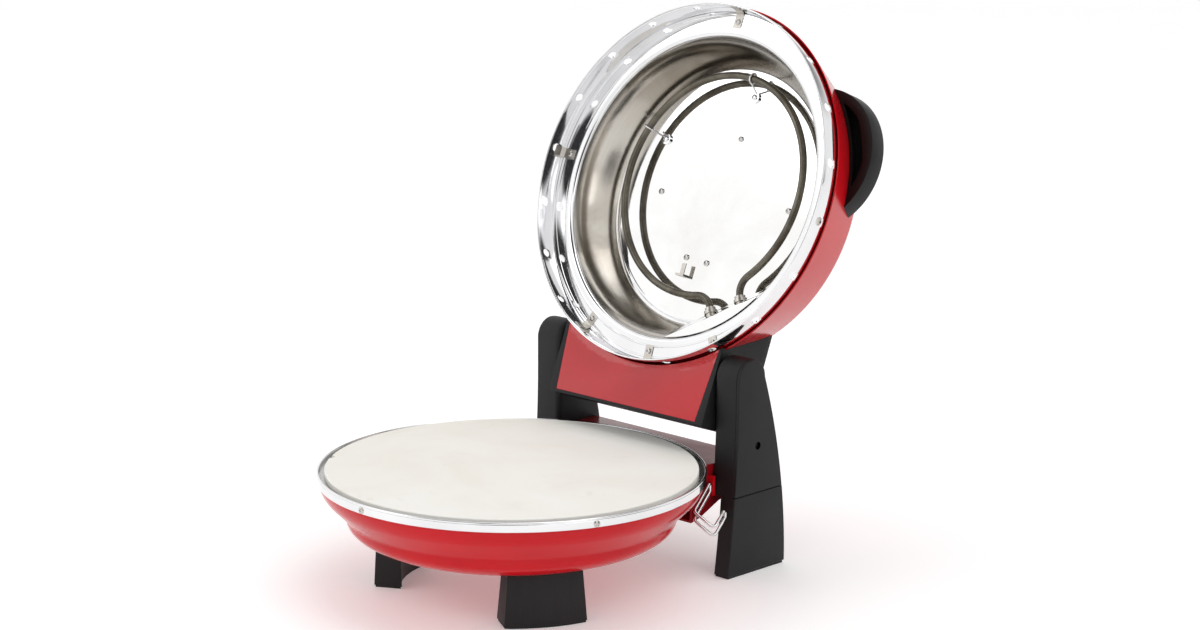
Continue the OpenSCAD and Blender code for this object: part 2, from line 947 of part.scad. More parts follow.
module disc_reflector() {
    in_lid()
        color(chrome_steel)
            difference() {
                translate([0, 0, disc_depth])
                    cylinder(h = reflector_t, r = bowl_foot_r - 1);
                for (p = concat(disc_screw_spots, [clip_screw_spot(0), clip_screw_spot(1)]))
                    translate([p[0], p[1], disc_depth - 1])
                        cylinder(h = 4, r = screw_shank_r + fit, $fn = 24);
            }
}

module disc_screws() {
    in_lid()
        color(chrome_steel)
            for (p = disc_screw_spots)
                translate([p[0], p[1], disc_depth])
                    rotate([180, 0, 0])
                        cross_screw(2.8, 1.6, screw_shank_r, 8);
}

// Pillars between the disc and the dome
module disc_spacers() {
    in_lid()
        color(satin_steel)
            for (p = disc_screw_spots)
                translate([p[0], p[1], disc_depth + reflector_t])
                    difference() {
                        cylinder(h = dome_h - sheet_t - disc_depth - reflector_t, r = 4, $fn = 32);
                        translate([0, 0, -1])
                            cylinder(h = 10, r = screw_shank_r + fit, $fn = 24);
                    }
}

// Small bent bracket with the thermostat's feeler
module sensor_bracket() {
    strip_t = 0.8;
    in_lid()
        color(satin_steel)
            translate([sensor_spot[0], sensor_spot[1], disc_depth - strip_t]) {
                cube([4, 12, strip_t]);
                translate([0, 10, -6])
                    cube([10, 2, 6 + strip_t]);
                translate([6, 0, -6])
                    cube([4, 12, strip_t]);
            }
}

// ---------- upper heater ----------

module upper_frame() {
    in_lid()
        translate([0, 0, upper_tube_h])
            children();
}

// The ring's two ends, and where the leads that go on from them end
function ring_point(a) = ring_at + upper_ring_r * [cos(a), sin(a)];
left_start = concat(ring_point(ring_left), [ring_left - 90]);
right_start = concat(ring_point(ring_right), [ring_right + 90]);
left_tip = run_end(left_end, left_start);
right_tip = run_end(right_end, right_start);

module upper_element() {
    lap_angle = atan(bend_lap / upper_ring_r);
    upper_frame()
        color(element_steel) {
            translate([ring_at[0], ring_at[1], 0])
                rotate([0, 0, ring_left - lap_angle])
                    rotate_extrude(angle = 360 + ring_right - ring_left + 2 * lap_angle)
                        translate([upper_ring_r, 0])
                            circle(r = tube_r, $fn = 32);
            heading(left_start)
                tube_run(left_end, tube_r);
            heading(right_start)
                tube_run(right_end, tube_r);
        }
}

module collar() {
    rotate([0, 90, 0])
        difference() {
            union() {
                cylinder(h = 14, r = tube_r + 1.6, $fn = 48);
                translate([0, 0, 3])
                    cylinder(h = 3, r = tube_r + 2.8, $fn = 48);
            }
            translate([0, 0, -1])
                cylinder(h = 16, r = tube_r + fit, $fn = 48);
        }
}

module upper_element_collars() {
    upper_frame()
        color(satin_steel) {
            heading(left_tip)
                translate([-17.2, 0, 0])
                    collar();
            heading(right_tip)
                translate([-15.2, 0, 0])
                    collar();
        }
}

function clip_screw_spot(i) =
    let (a = tube_clip_angles[i]) ring_at + (upper_ring_r - tube_clip_tail) * [cos(a), -sin(a)];

// Wire loops round the tube, each with a tail under a screw
module upper_element_clips() {
    in_lid()
        color(chrome_steel)
            for (i = [0:len(tube_clip_angles) - 1])
                translate([ring_at[0], ring_at[1], 0])
                    rotate([0, 0, -tube_clip_angles[i]])
                        translate([upper_ring_r, 0, 0])
                            tube_clip();
}

module tube_clip() {
    wire = 0.9;
    loop_r = tube_r + wire + 0.2;
    translate([0, 0, upper_tube_h])
        rotate([90, 0, 0])
            rotate_extrude()
                translate([loop_r, 0])
                    circle(r = wire, $fn = 24);
    rod([-loop_r, 0, upper_tube_h], [4 - tube_clip_tail, 0, disc_depth - 1.2], wire - 0.1);
    translate([-tube_clip_tail, 0, disc_depth - 2]) {
        difference() {
            cylinder(h = 2, r = 5, $fn = 32);
            translate([0, 0, -1])
                cylinder(h = 4, r = screw_shank_r + fit, $fn = 24);
        }
        rotate([180, 0, 0])
            cross_screw(2.8, 1.6, screw_shank_r, 8);
    }
}

// Sloping wall and flat segment over the heater's ends
shield_low_h = flange_h + 1.2;
shield_rise = disc_depth - shield_low_h;
shield_slope = atan((shield_top_d - shield_low_d) / shield_rise);
function shield_d(h) = shield_top_d + (shield_low_d - shield_top_d) * (h - shield_low_h) / shield_rise;
function shield_edge(p) = [
    sqrt(pow(p[0] - 1.5, 2) - pow(shield_d(p[1]), 2)),
    max((p[1] - shield_low_h) / cos(shield_slope) - shield_end_gap, 0)
];

// Where a lead's axis crosses the sloping wall, along the wall from its middle
function shield_cross(tip) =
    let (
        across = tip[0] * cos(-shield_angle) + tip[1] * sin(-shield_angle),
        along = tip[1] * cos(-shield_angle) - tip[0] * sin(-shield_angle)
    )
    along + (shield_d(upper_tube_h) - across) * tan(tip[2] + shield_angle);

module terminal_shield() {
    edge = concat(
        [[sqrt(pow(shield_r - 1, 2) - pow(shield_top_d, 2)), 0]],
        [for (t = [1:6]) shield_edge(bowl_point(t / 6))]
    );
    hole_r = (tube_r + 1.6) / cos(shield_slope) + shield_t;
    in_lid()
        color(chrome_steel)
            rotate([0, 0, -shield_angle]) {
                translate([shield_top_d + shield_t / 2, 0, shield_low_h + shield_t / 4])
                    rotate([0, -shield_slope, 0])
                        rotate([90, 0, 90])
                            linear_extrude(height = shield_t)
                                difference() {
                                    polygon(concat(edge, [for (p = reversed(edge)) [-p[0], p[1]]]));
                                    for (tip = [left_tip, right_tip])
                                        translate([
                                            shield_cross(tip),
                                            (upper_tube_h - shield_low_h) / cos(shield_slope)
                                        ])
                                            circle(r = hole_r, $fn = 48);
                                }
                translate([0, 0, shield_low_h])
                    linear_extrude(height = shield_t)
                        intersection() {
                            circle(r = shield_r);
                            translate([shield_top_d, -flange_r])
                                square([flange_r, 2 * flange_r]);
                        }
            }
}

// Bent strips that tie the skirt to the flange
module rim_clips() {
    strip_w = 9;
    wall_r = skirt_r - skirt_t - 2 * fit;
    path = [
        [flange_out_r - 13.5, flange_h], [flange_out_r - 0.2, flange_h],
        [wall_r, skirt_h - skirt_turn_h - 0.2], [wall_r, flange_h - clip_drop]
    ];
    in_lid()
        color(satin_steel)
            for (a = clip_angles)
                at_angle(a, 0)
                    difference() {
                        rotate([90, 0, 0])
                            linear_extrude(height = strip_w, center = true)
                                polygon(concat(path, reversed(moved_path(path, -clip_t))));
                        translate([flange_out_r - clip_screw_inset, 0, 0])
                            cylinder(h = skirt_h, r = screw_shank_r + fit, $fn = 24);
                    }
}

module rim_clip_screw_places() {
    for (a = clip_angles)
        at_angle(a, flange_out_r - clip_screw_inset)
            translate([0, 0, flange_h - clip_t])
                children();
}

module rim_clip_screws() {
    in_lid()
        color(chrome_steel)
            rim_clip_screw_places()
                rotate([180, 0, 0])
                    cross_screw(2.6, 1.5, screw_shank_r, 3);
}

// ---------- handle ----------

handle_mid_r = skirt_r + handle_out - handle_round_r;

module handle_plan(inset) {
    at_angle(handle_angle, handle_mid_r)
        circle(r = handle_round_r - inset);
}

// The seats of the screw heads, inside the dome
module handle_screw_places() {
    seat_r = shell_r(handle_screw_h + screw_head_r) - 1.1 * sheet_t;
    for (a = handle_screw_angles)
        at_angle(handle_angle + a, seat_r)
            translate([0, 0, handle_screw_h])
                rotate([0, 90, 0])
                    children();
}

// A thick shelf that fits the dome, with a finger pocket beside it on the mouth side
module lid_handle() {
    in_lid()
        color(black_plastic)
            difference() {
                translate([0, 0, handle_low_h])
                    linear_extrude(height = handle_t)
                        handle_plan(0);
                intersection() {
                    translate([0, 0, handle_low_h - 1])
                        linear_extrude(height = handle_pocket_h + 1)
                            handle_plan(handle_end_wall);
                    difference() {
                        dome_solid(handle_band_t + handle_pocket_w);
                        dome_solid(handle_band_t);
                    }
                }
                handle_screw_places()
                    cylinder(h = handle_screw_l + body_gap, r = screw_shank_r + fit, $fn = 24);
                dome_solid(2 * fit);
            }
}

module handle_screws() {
    in_lid()
        color(chrome_steel)
            handle_screw_places()
                rotate([180, 0, 0])
                    cross_screw(screw_head_r, 1.6, screw_shank_r, handle_screw_l);
}

// ---------- hinge box ----------

module box_outline(inset) {
    top_z = panel_z + box_h;
    polygon(concat(
        [[box_front_y, panel_z + inset], [box_rear_y - inset, panel_z + inset]],
        arc([box_rear_y - box_round, top_z - box_round], box_round - inset, box_round - inset, 0, 90, 8),
        [[box_front_y, top_z - inset]]
    ));
}

module panel_plan(grow) {
    polygon([
        [-panel_half_w(panel_front_y) - grow, panel_front_y - grow],
        [panel_half_w(panel_front_y) + grow, panel_front_y - grow],
        [panel_half_w(panel_rear_y) + grow, panel_rear_y + grow],
        [-panel_half_w(panel_rear_y) - grow, panel_rear_y + grow]
    ]);
}

module hinge_box() {
    opened()
        color(black_plastic)
            difference() {
                along_x(-box_half_w, box_half_w)
                    box_outline(0);
                difference() {
                    along_x(-box_half_w + box_wall, box_half_w - box_wall)
                        box_outline(box_wall);
                    both_sides()
                        translate([pin_in_x - 1, hinge_y, hinge_z])
                            rotate([0, 90, 0])
                                cylinder(h = 20, r = boss_r);
                }
                both_sides()
                    translate([pin_in_x - 2, hinge_y, hinge_z])
                        rotate([0, 90, 0])
                            cylinder(h = 30, r = pin_r + fit);
                translate([0, 0, panel_z - 1])
                    linear_extrude(height = 1 + panel_t)
                        panel_plan(fit);
                translate([0, 0, lid_z]) {
                    dome_solid(0.1);
                    cylinder(h = dome_foot_h + 1, r = skirt_r + skirt_clear);
                }
            }
}

module hinge_panel() {
    opened()
        color(red_paint)
            difference() {
                translate([0, 0, panel_z])
                    linear_extrude(height = panel_t)
                        panel_plan(0);
                translate([0, 0, lid_z]) {
                    dome_solid(0.3);
                    cylinder(h = dome_foot_h + 1, r = skirt_r + skirt_clear);
                }
            }
}

module hinge_box_screws() {
    opened()
        color(chrome_steel)
            for (x = [-box_half_w + 34.5, box_half_w - 34.5])
                translate([x, box_rear_y - box_wall - 4, panel_z + box_h / 2])
                    rotate([-90, 0, 0])
                        cylinder(h = 4, r = 3, $fn = 32);
}

base_pan();
rim_band();
rim_screws();
lower_reflector();
baking_stone();
lower_element();
lower_element_collars();
lower_element_stands();
thermal_cutout();
rear_housing();
housing_cover();
housing_screws();
cord_gland();
terminal_block();
left_front_foot();
right_front_foot();
foot_screws();
foot_pads();
left_leg();
right_leg();
left_post();
right_post();
left_post_cover();
right_post_cover();
post_cover_screws();
hinge_pins();
left_wire_hook();
right_wire_hook();
hook_lugs();
lid_shell();
lid_skirt();
bowl_reflector();
disc_reflector();
disc_screws();
disc_spacers();
sensor_bracket();
upper_element();
upper_element_collars();
upper_element_clips();
terminal_shield();
rim_clips();
rim_clip_screws();
lid_handle();
handle_screws();
hinge_box();
hinge_panel();
hinge_box_screws();
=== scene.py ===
"""Electric pizza maker with its lid open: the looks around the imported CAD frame."""

import json
import math

import bmesh
import bpy
from mathutils import Matrix, Vector


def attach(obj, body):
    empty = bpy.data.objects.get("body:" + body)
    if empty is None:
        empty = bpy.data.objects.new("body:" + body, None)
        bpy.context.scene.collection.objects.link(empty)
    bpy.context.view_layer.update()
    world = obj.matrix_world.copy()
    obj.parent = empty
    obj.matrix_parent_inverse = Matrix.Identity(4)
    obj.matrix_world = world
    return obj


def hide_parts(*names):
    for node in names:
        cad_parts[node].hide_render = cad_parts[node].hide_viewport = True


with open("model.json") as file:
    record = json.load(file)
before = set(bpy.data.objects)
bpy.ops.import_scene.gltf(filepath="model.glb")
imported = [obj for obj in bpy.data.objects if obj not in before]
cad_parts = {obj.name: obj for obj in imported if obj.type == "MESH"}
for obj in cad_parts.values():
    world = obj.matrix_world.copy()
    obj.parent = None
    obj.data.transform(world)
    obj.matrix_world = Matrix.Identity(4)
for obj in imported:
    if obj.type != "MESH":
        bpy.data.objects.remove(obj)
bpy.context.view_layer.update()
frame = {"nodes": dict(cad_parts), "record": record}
nodes = frame["nodes"]

MM = 0.001
PIVOT = Vector((0, 0.1782, 0.1536))
OPEN = math.radians(111.75)
LID_Z = 112.0
TO_OPEN = Matrix.Translation(PIVOT) @ Matrix.Rotation(-OPEN, 4, "X") @ Matrix.Translation(-PIVOT)

# ---------------------------------------------------------------- camera

AZ, EL, DIST = math.radians(45.64), math.radians(15.81), 2.6148
target = Vector((0, 0, 0.1))
away = Vector((math.sin(AZ) * math.cos(EL), -math.cos(AZ) * math.cos(EL), math.sin(EL)))
cam_data = bpy.data.cameras.new("camera")
cam = bpy.data.objects.new("camera", cam_data)
bpy.context.scene.collection.objects.link(cam)
cam_data.lens = 90.0
cam_data.sensor_width = 36.0
cam_data.shift_x = (600 - 511.59) / 1200
cam_data.shift_y = (475.95 - 315) / 1200
cam_data.clip_end = 60
cam.matrix_world = (
    Matrix.Translation(target + away * DIST)
    @ (-away).to_track_quat("-Z", "Y").to_matrix().to_4x4()
    @ Matrix.Rotation(math.radians(-0.15), 4, "Z")
)
bpy.context.scene.camera = cam

# ---------------------------------------------------------------- node helpers


class Graph:
    """A material's node tree with short calls."""

    def __init__(self, name):
        self.mat = bpy.data.materials.new(name)
        self.mat.use_nodes = True
        self.tree = self.mat.node_tree
        self.tree.nodes.clear()
        self.out = self.node("ShaderNodeOutputMaterial")
        self.bsdf = self.node("ShaderNodeBsdfPrincipled")
        self.link(self.bsdf.outputs[0], self.out.inputs["Surface"])
        self.coords = self.node("ShaderNodeTexCoord").outputs["Object"]

    def node(self, kind, **values):
        n = self.tree.nodes.new(kind)
        for k, v in values.items():
            setattr(n, k, v)
        return n

    def link(self, a, b):
        self.tree.links.new(a, b)

    def put(self, socket, value):
        if isinstance(value, bpy.types.NodeSocket):
            self.link(value, socket)
        else:
            socket.default_value = value

    def set(self, **values):
        for k, v in values.items():
            self.put(self.bsdf.inputs[k.replace("_", " ")], v)

    def noise(self, scale, detail=3.0, rough=0.5, distortion=0.0, vector=None):
        n = self.node("ShaderNodeTexNoise")
        self.put(n.inputs["Vector"], vector or self.coords)
        n.inputs["Scale"].default_value = scale
        n.inputs["Detail"].default_value = detail
        n.inputs["Roughness"].default_value = rough
        n.inputs["Distortion"].default_value = distortion
        return n.outputs["Fac"]

    def voronoi(self, scale, vector=None):
        n = self.node("ShaderNodeTexVoronoi")
        self.put(n.inputs["Vector"], vector or self.coords)
        n.inputs["Scale"].default_value = scale
        return n.outputs["Distance"]

    def ramp(self, fac, stops):
        n = self.node("ShaderNodeValToRGB")
        self.put(n.inputs[0], fac)
        e = n.color_ramp.elements
        while len(e) < len(stops):
            e.new(0.5)
        for item, (pos, col) in zip(e, stops):
            item.position = pos
            item.color = (*col, 1) if len(col) == 3 else col
        return n.outputs[0]

    def span(self, fac, low, high, a=0.3, b=0.7):
        n = self.node("ShaderNodeMapRange")
        self.put(n.inputs["Value"], fac)
        n.inputs["From Min"].default_value = a
        n.inputs["From Max"].default_value = b
        n.inputs["To Min"].default_value = low
        n.inputs["To Max"].default_value = high
        return n.outputs[0]

    def mix(self, fac, a, b, mode="MIX"):
        n = self.node("ShaderNodeMix", data_type="RGBA", blend_type=mode)
        self.put(n.inputs[0], fac)
        self.put(n.inputs[6], a if isinstance(a, bpy.types.NodeSocket) else (*a, 1))
        self.put(n.inputs[7], b if isinstance(b, bpy.types.NodeSocket) else (*b, 1))
        return n.outputs[2]

    def math(self, op, a, b=0.0):
        n = self.node("ShaderNodeMath", operation=op)
        self.put(n.inputs[0], a)
        self.put(n.inputs[1], b)
        return n.outputs[0]

    def bump(self, height, strength, distance, normal=None):
        n = self.node("ShaderNodeBump")
        n.inputs["Strength"].default_value = strength
        n.inputs["Distance"].default_value = distance
        self.put(n.inputs["Height"], height)
        if normal:
            self.put(n.inputs["Normal"], normal)
        return n.outputs[0]

    def stretched(self, x, y, z, vector=None):
        n = self.node("ShaderNodeMapping")
        self.put(n.inputs["Vector"], vector or self.coords)
        n.inputs["Scale"].default_value = (x, y, z)
        return n.outputs[0]

    def lid_coords(self):
        """Coordinates of the closed lid, so that its axis is Z whatever the lid's place."""
        turn = Matrix.Rotation(OPEN, 3, "X")
        n = self.node("ShaderNodeMapping")
        self.put(n.inputs["Vector"], self.coords)
        n.inputs["Rotation"].default_value = (OPEN, 0, 0)
        n.inputs["Location"].default_value = PIVOT - turn @ PIVOT
        return n.outputs[0]

    def turned(self, vector):
        """(distance from the axis, height, 0): what a lathe or spinning tool leaves rings along."""
        sep = self.node("ShaderNodeSeparateXYZ")
        self.put(sep.inputs[0], vector)
        flat = self.node("ShaderNodeCombineXYZ")
        self.put(flat.inputs[0], sep.outputs[0])
        self.put(flat.inputs[1], sep.outputs[1])
        length = self.node("ShaderNodeVectorMath", operation="LENGTH")
        self.put(length.inputs[0], flat.outputs[0])
        out = self.node("ShaderNodeCombineXYZ")
        self.put(out.inputs[0], length.outputs["Value"])
        self.put(out.inputs[1], sep.outputs[2])
        return out.outputs[0]


# ---------------------------------------------------------------- materials


def enamel(name, deep, bright, peel=0.05, rough=0.16, gloss=0.25):
    g = Graph(name)
    tone = g.noise(9.0, 3.0, 0.5)
    g.set(Base_Color=g.ramp(tone, [(0.3, deep), (0.7, bright)]))
    g.set(Roughness=g.span(g.noise(60.0, 4.0), rough - 0.03, rough + 0.05))
    g.set(Specular_IOR_Level=0.12, Coat_Weight=gloss, Coat_Roughness=0.03)
    wave = g.noise(190.0, 2.0, 0.4)
    g.set(Normal=g.bump(wave, peel, 0.0006))
    coat = g.bump(wave, peel * 0.6, 0.0004)
    g.link(coat, g.bsdf.inputs["Coat Normal"])
    return g.mat


def chrome(name, colour=(0.86, 0.86, 0.87), rough=0.05, scratch=0.03):
    g = Graph(name)
    streak = g.noise(40.0, 6.0, 0.65, vector=g.stretched(1.0, 1.0, 14.0))
    cloud = g.noise(14.0, 3.0)
    low = tuple(c * 0.9 for c in colour)
    g.set(Base_Color=g.ramp(cloud, [(0.3, low), (0.7, colour)]), Metallic=1.0)
    g.set(Roughness=g.span(streak, rough, rough + 0.06, 0.35, 0.75))
    g.set(Normal=g.bump(g.noise(90.0, 2.0), scratch, 0.0005))
    return g.mat


def mirror_sheet(name):
    g = Graph(name)
    where = g.lid_coords()
    rings = g.noise(420.0, 3.0, 0.6, vector=g.turned(where))
    smear = g.noise(11.0, 5.0, 0.6, 0.6, vector=where)
    g.set(Base_Color=g.ramp(smear, [(0.3, (0.80, 0.79, 0.77)), (0.65, (0.90, 0.90, 0.90))]), Metallic=1.0)
    g.set(Roughness=g.span(smear, 0.07, 0.02))
    first = g.bump(rings, 0.02, 0.0004)
    g.set(Normal=g.bump(g.noise(26.0, 2.0, vector=where), 0.03, 0.003, first))
    return g.mat


def spun_steel(name):
    """The lid's bowl: satin spun sheet, a little browned by heat, with a painted dark reflection towards the
    top of the open lid.
    """
    g = Graph(name)
    where = g.lid_coords()
    rings = g.noise(900.0, 4.0, 0.7, vector=g.turned(where))
    wide = g.noise(120.0, 2.0, vector=g.turned(where))
    stain = g.noise(13.0, 5.0, 0.6, 0.8, vector=where)
    tones = [(0.28, (0.46, 0.42, 0.365)), (0.52, (0.62, 0.585, 0.53)), (0.75, (0.74, 0.71, 0.66))]
    colour = g.ramp(stain, tones)
    colour = g.mix(g.span(rings, 0.0, 0.3), colour, (0.42, 0.38, 0.33))
    side = g.node("ShaderNodeSeparateXYZ")
    g.put(side.inputs[0], where)
    # the front of the closed lid, which is the top of the open one, is darkened as a painted dark reflection
    painted_dark_top = g.span(side.outputs[1], 0.78, 0.0, -0.125, -0.02)
    g.set(Base_Color=g.mix(painted_dark_top, colour, (0.16, 0.138, 0.11)), Metallic=1.0)
    g.set(Roughness=g.span(wide, 0.12, 0.20), Anisotropic=0.35)
    first = g.bump(rings, 0.12, 0.0003)
    g.set(Normal=g.bump(g.noise(35.0, 2.0, vector=where), 0.10, 0.0025, first))
    return g.mat


def brushed(name, colour, rough=0.3):
    g = Graph(name)
    grain = g.noise(300.0, 4.0, 0.7, vector=g.stretched(1.0, 8.0, 1.0))
    dark = tuple(c * 0.78 for c in colour)
    g.set(Base_Color=g.ramp(grain, [(0.3, dark), (0.7, colour)]), Metallic=1.0)
    g.set(Roughness=g.span(g.noise(50.0), rough - 0.06, rough + 0.08))
    g.set(Normal=g.bump(grain, 0.08, 0.0002))
    return g.mat


def heater_sheath():
    g = Graph("heater sheath")
    patch = g.noise(38.0, 5.0, 0.6, 0.4)
    fine = g.noise(700.0, 3.0)
    tones = [(0.3, (0.075, 0.062, 0.048)), (0.55, (0.15, 0.135, 0.105)), (0.75, (0.23, 0.21, 0.17))]
    colour = g.ramp(patch, tones)
    g.set(Base_Color=g.mix(g.span(fine, 0.0, 0.3), colour, (0.06, 0.05, 0.04)), Metallic=0.75)
    g.set(Roughness=g.span(patch, 0.42, 0.28))
    g.set(Normal=g.bump(fine, 0.10, 0.0002))
    return g.mat


def cordierite():
    """The baking stone: cream, matt, with faint clouds, pores and marks of use."""
    g = Graph("baking stone")
    cloud = g.noise(7.0, 6.0, 0.55, 0.5)
    marks = g.noise(26.0, 8.0, 0.65, 1.2)
    pores = g.voronoi(420.0)
    grain = g.noise(1300.0, 3.0)
    tones = [(0.3, (0.90, 0.865, 0.79)), (0.5, (0.94, 0.915, 0.86)), (0.72, (0.965, 0.95, 0.905))]
    base = g.ramp(cloud, tones)
    worn = g.mix(g.span(marks, 0.0, 0.28, 0.60, 0.78), base, (0.66, 0.60, 0.52))
    speck = g.mix(g.span(pores, 0.25, 0.0, 0.0, 0.12), worn, (0.60, 0.55, 0.48))
    g.set(Base_Color=speck, Roughness=g.span(marks, 0.92, 0.78))
    g.set(Specular_IOR_Level=0.25)
    first = g.bump(grain, 0.18, 0.0002)
    g.set(Normal=g.bump(pores, 0.10, 0.0003, first))
    return g.mat


def plastic(name, dark=(0.009, 0.009, 0.010), light=(0.015, 0.015, 0.016), rough=0.5):
    """Black moulded plastic with a fine spark-eroded grain."""
    g = Graph(name)
    grain = g.noise(1500.0, 3.0, 0.6)
    cells = g.voronoi(1100.0)
    tone = g.noise(12.0, 3.0)
    g.set(Base_Color=g.ramp(tone, [(0.3, dark), (0.75, light)]))
    g.set(Roughness=g.span(grain, rough - 0.06, rough + 0.1))
    g.set(Specular_IOR_Level=0.28)
    first = g.bump(grain, 0.22, 0.0003)
    g.set(Normal=g.bump(cells, 0.18, 0.0003, first))
    return g.mat


def rubber():
    g = Graph("rubber")
    grain = g.noise(600.0, 3.0)
    g.set(Base_Color=g.ramp(grain, [(0.3, (0.010, 0.010, 0.010)), (0.7, (0.022, 0.022, 0.022))]))
    g.set(Roughness=g.span(grain, 0.72, 0.86))
    g.set(Normal=g.bump(grain, 0.2, 0.0003))
    return g.mat


def glazed():
    g = Graph("glazed ceramic")
    tone = g.noise(40.0, 3.0)
    g.set(Base_Color=g.ramp(tone, [(0.3, (0.78, 0.76, 0.70)), (0.7, (0.86, 0.85, 0.81))]))
    g.set(Roughness=g.span(tone, 0.2, 0.32))
    g.set(Normal=g.bump(g.noise(150.0), 0.05, 0.0004))
    return g.mat


red = enamel("red enamel", (0.50, 0.004, 0.010), (0.60, 0.006, 0.012))
red_panel = enamel(
    "red enamel panel", (0.46, 0.004, 0.010), (0.58, 0.008, 0.014), peel=0.32, rough=0.2, gloss=1.0
)
# the housing has the pan's red, darkened here as painted shade for a part that sits in shadow
red_housing_shaded = enamel("red housing, painted shade", (0.20, 0.004, 0.008), (0.30, 0.006, 0.012), peel=0.14, rough=0.3)
bright = chrome("bright chrome")
plated = chrome("plated screws", (0.62, 0.60, 0.58), rough=0.14)
wire_plate = chrome("plated wire", (0.84, 0.84, 0.85), rough=0.08)
mirror = mirror_sheet("polished reflector")
spun = spun_steel("spun bowl")
satin = brushed("satin steel", (0.62, 0.59, 0.54))
sheet_steel = brushed("rolled sheet", (0.52, 0.51, 0.50), 0.26)
sheath = heater_sheath()
stone_mat = cordierite()
black = plastic("black plastic")
handle_black = plastic("handle plastic", (0.004, 0.004, 0.004), (0.008, 0.008, 0.008), 0.42)
cover_black = plastic("cover plastic", (0.011, 0.011, 0.012), (0.018, 0.018, 0.019), 0.54)
dark_screw = chrome("blackened screw", (0.10, 0.10, 0.10), rough=0.3)
rubber_mat = rubber()
ceramic = glazed()

# ---------------------------------------------------------------- mesh helpers


def arc(cx, cy, rx, ry, a0, a1, n, first=0):
    turns = [math.radians(a0 + (a1 - a0) * i / n) for i in range(first, n + 1)]
    return [(cx + rx * math.cos(a), cy + ry * math.sin(a)) for a in turns]


def moved(path, t):
    """The path moved sideways by t, to its left, with mitred corners."""
    out = []
    for i, p in enumerate(path):
        normals = []
        for a, b in ((max(i - 1, 0), max(i, 1)), (min(i, len(path) - 2), min(i + 1, len(path) - 1))):
            d = Vector(path[b]) - Vector(path[a])
            normals.append(Vector((-d.y, d.x)).normalized())
        n = (normals[0] + normals[1]) / (1 + normals[0].dot(normals[1]))
        out.append((p[0] + t * n.x, p[1] + t * n.y))
    return out


def sheet(path, t):
    return path + moved(path, t)[::-1]


def finish_mesh(me, mat, angle=35, weld=1e-6):
    bm = bmesh.new()
    bm.from_mesh(me)
    bmesh.ops.remove_doubles(bm, verts=bm.verts, dist=weld)
    bmesh.ops.recalc_face_normals(bm, faces=bm.faces)
    bm.to_mesh(me)
    bm.free()
    me.materials.clear()
    me.materials.append(mat)
    me.shade_smooth()
    me.set_sharp_from_angle(angle=math.radians(angle))
    return me


def piece(name, me, body, slot, *cad):
    """A finished piece of the object: rides on a body and stands for CAD nodes."""
    obj = bpy.data.objects.new(name, me)
    bpy.context.scene.collection.objects.link(obj)
    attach(obj, body)
    if cad:
        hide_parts(*cad)
    return obj


def lathe(profile, n=224, closed=True):
    """A turned solid from (r, z) points in mm."""
    bm = bmesh.new()
    rings = []
    for r, z in profile:
        if r < 1e-4:
            v = bm.verts.new((0, 0, z * MM))
            rings.append([v] * n)
        else:
            turns = [2 * math.pi * k / n for k in range(n)]
            rings.append([bm.verts.new((r * MM * math.cos(a), r * MM * math.sin(a), z * MM)) for a in turns])
    pairs = list(zip(rings, rings[1:] + ([rings[0]] if closed else [])))
    if not closed:
        pairs = pairs[: len(rings) - 1]
    for a, b in pairs:
        for k in range(n):
            corner = [a[k], a[(k + 1) % n], b[(k + 1) % n], b[k]]
            loop = list(dict.fromkeys(corner))
            if len(loop) > 2:
                bm.faces.new(loop)
    me = bpy.data.meshes.new("turned")
    bm.to_mesh(me)
    bm.free()
    return me


def join(meshes):
    bm = bmesh.new()
    for me, place in meshes:
        part = me.copy()
        part.transform(place)
        bm.from_mesh(part)
        bpy.data.meshes.remove(part)
    out = bpy.data.meshes.new("joined")
    bm.to_mesh(out)
    bm.free()
    return out


def modified(me, setup):
    """The mesh with modifiers applied. setup(obj) adds them."""
    obj = bpy.data.objects.new("work", me)
    bpy.context.scene.collection.objects.link(obj)
    extra = setup(obj) or []
    bpy.context.view_layer.update()
    graph = bpy.context.evaluated_depsgraph_get()
    out = bpy.data.meshes.new_from_object(obj.evaluated_get(graph))
    bpy.data.objects.remove(obj)
    for e in extra:
        bpy.data.objects.remove(e)
    return out


def cut(me, cutter):
    def setup(obj):
        tool = bpy.data.objects.new("tool", cutter)
        bpy.context.scene.collection.objects.link(tool)
        m = obj.modifiers.new("cut", "BOOLEAN")
        m.operation = "DIFFERENCE"
        m.solver = "EXACT"
        m.object = tool
        return [tool]

    return modified(me, setup)


def bevelled(node, width, segments=3, angle=30):
    """A copy of a CAD node's mesh with rounded edges."""
    me = nodes[node].data.copy()
    bm = bmesh.new()
    bm.from_mesh(me)
    bmesh.ops.remove_doubles(bm, verts=bm.verts, dist=2e-6)
    bmesh.ops.dissolve_limit(
        bm, angle_limit=math.radians(0.6), verts=bm.verts, edges=bm.edges, delimit={"NORMAL"}
    )
    bm.to_mesh(me)
    bm.free()

    def setup(obj):
        m = obj.modifiers.new("bevel", "BEVEL")
        m.width = width * MM
        m.segments = segments
        m.limit_method = "ANGLE"
        m.angle_limit = math.radians(angle)
        m.use_clamp_overlap = True
        m.harden_normals = False

    return modified(me, setup)


def rounded(points, radius, steps=8):
    """A run of straight lines with its corners turned into bends."""
    pts = [Vector(p) for p in points]
    out = [pts[0]]
    for a, b, c in zip(pts, pts[1:], pts[2:]):
        u, w = (a - b).normalized(), (c - b).normalized()
        turn = math.pi - u.angle(w)
        if turn < 1e-3:
            out.append(b)
            continue
        reach = min(radius * math.tan(turn / 2), (a - b).length * 0.49, (c - b).length * 0.49)
        r = reach / math.tan(turn / 2)
        centre = b + (u + w).normalized() * (r / math.cos(turn / 2))
        start = b + u * reach - centre
        end = b + w * reach - centre
        axis = start.cross(end).normalized()
        for i in range(steps + 1):
            out.append(centre + Matrix.Rotation(turn * i / steps, 3, axis) @ start)
    out.append(pts[-1])
    return out


